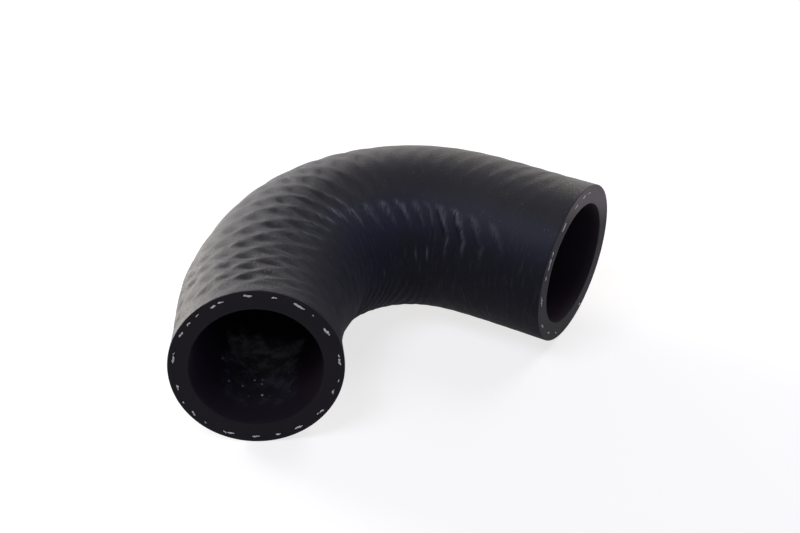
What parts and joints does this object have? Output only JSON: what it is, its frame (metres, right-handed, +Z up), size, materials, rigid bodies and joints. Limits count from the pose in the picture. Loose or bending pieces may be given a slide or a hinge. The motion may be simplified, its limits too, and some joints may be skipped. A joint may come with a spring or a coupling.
{
  "type": "radiator hose",
  "caption": "Short moulded rubber coolant hose: one smooth bend, a bore right through, slanted cut ends and a lattice of shallow lozenges in its cover.",
  "frame": {"origin": "middle of the footprint, on the surface that the hose lies on", "axes": "+Y along the near leg, from its mouth into the hose; the bend turns from there towards +X; +Z up, square to the plane of the bend"},
  "size_m": [0.1068, 0.0854, 0.042],
  "materials": {
    "rubber": "satin black rubber with a soft sheen",
    "yarn": "white reinforcing yarn, cut off flush with the rubber"
  },
  "bodies": {
    "root": {"hose": "rubber"}
  },
  "joints": []
}
